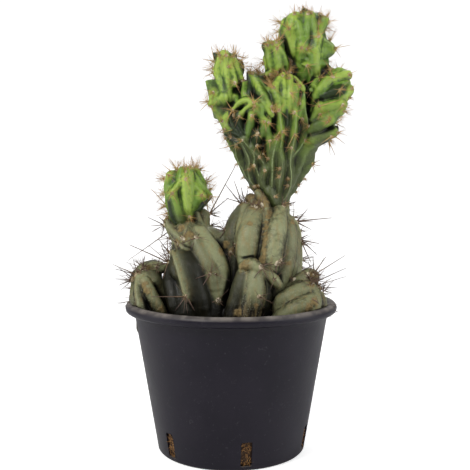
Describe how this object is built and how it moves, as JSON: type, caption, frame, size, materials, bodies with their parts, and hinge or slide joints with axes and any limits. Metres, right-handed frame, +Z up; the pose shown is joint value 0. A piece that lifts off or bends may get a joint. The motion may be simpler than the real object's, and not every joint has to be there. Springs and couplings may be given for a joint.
{
  "type": "potted tall cactus",
  "caption": "Monstrose column cactus with knobbly ribs: an old grey-green trunk, low offsets and fresh green heads, in a round tapered nursery pot.",
  "frame": {"origin": "middle of the pot's flat underside, on the pot's axis", "axes": "+Z up along the pot's axis, -Y towards the side seen in the picture, +X to that side's right"},
  "size_m": [0.1911, 0.17, 0.3583],
  "materials": {
    "pot_plastic": "satin, dusty",
    "potting_mix": "rough and fibrous",
    "old_skin": "waxy, with corky scars",
    "fresh_skin": "soft sheen"
  },
  "bodies": {
    "root": {"pot": "pot_plastic", "soil": "potting_mix", "old_trunk": "old_skin", "left_offset": "old_skin", "right_offset": "old_skin", "small_head": "fresh_skin", "tall_head": "fresh_skin"}
  },
  "joints": []
}
